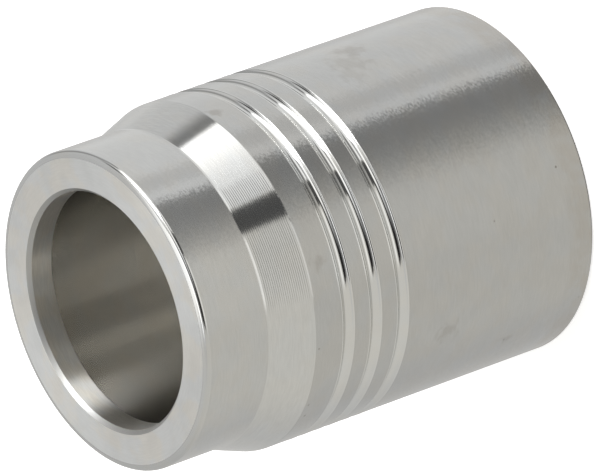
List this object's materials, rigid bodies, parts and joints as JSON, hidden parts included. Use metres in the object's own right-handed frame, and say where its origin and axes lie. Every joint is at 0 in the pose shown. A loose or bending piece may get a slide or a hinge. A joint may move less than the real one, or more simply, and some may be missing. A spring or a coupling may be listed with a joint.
{
  "type": "crimp hose ferrule",
  "caption": "Turned tubular crimp ferrule for a hydraulic hose: plain barrel with round marking grooves, a short taper to a narrower nose, a stepped bore and inner grip rings.",
  "frame": {"origin": "centre of the hose-end face, on the axis, where the ferrule stands", "axes": "+Z along the axis from the hose end to the nose face; X and Y are any two radial directions"},
  "size_m": [0.036, 0.036, 0.0475],
  "materials": {
    "turned_stainless": "bare stainless steel as turned: satin barrel, fine turning lines on the taper, bright groove bottoms"
  },
  "bodies": {
    "root": {"ferrule": "turned_stainless"}
  },
  "joints": []
}
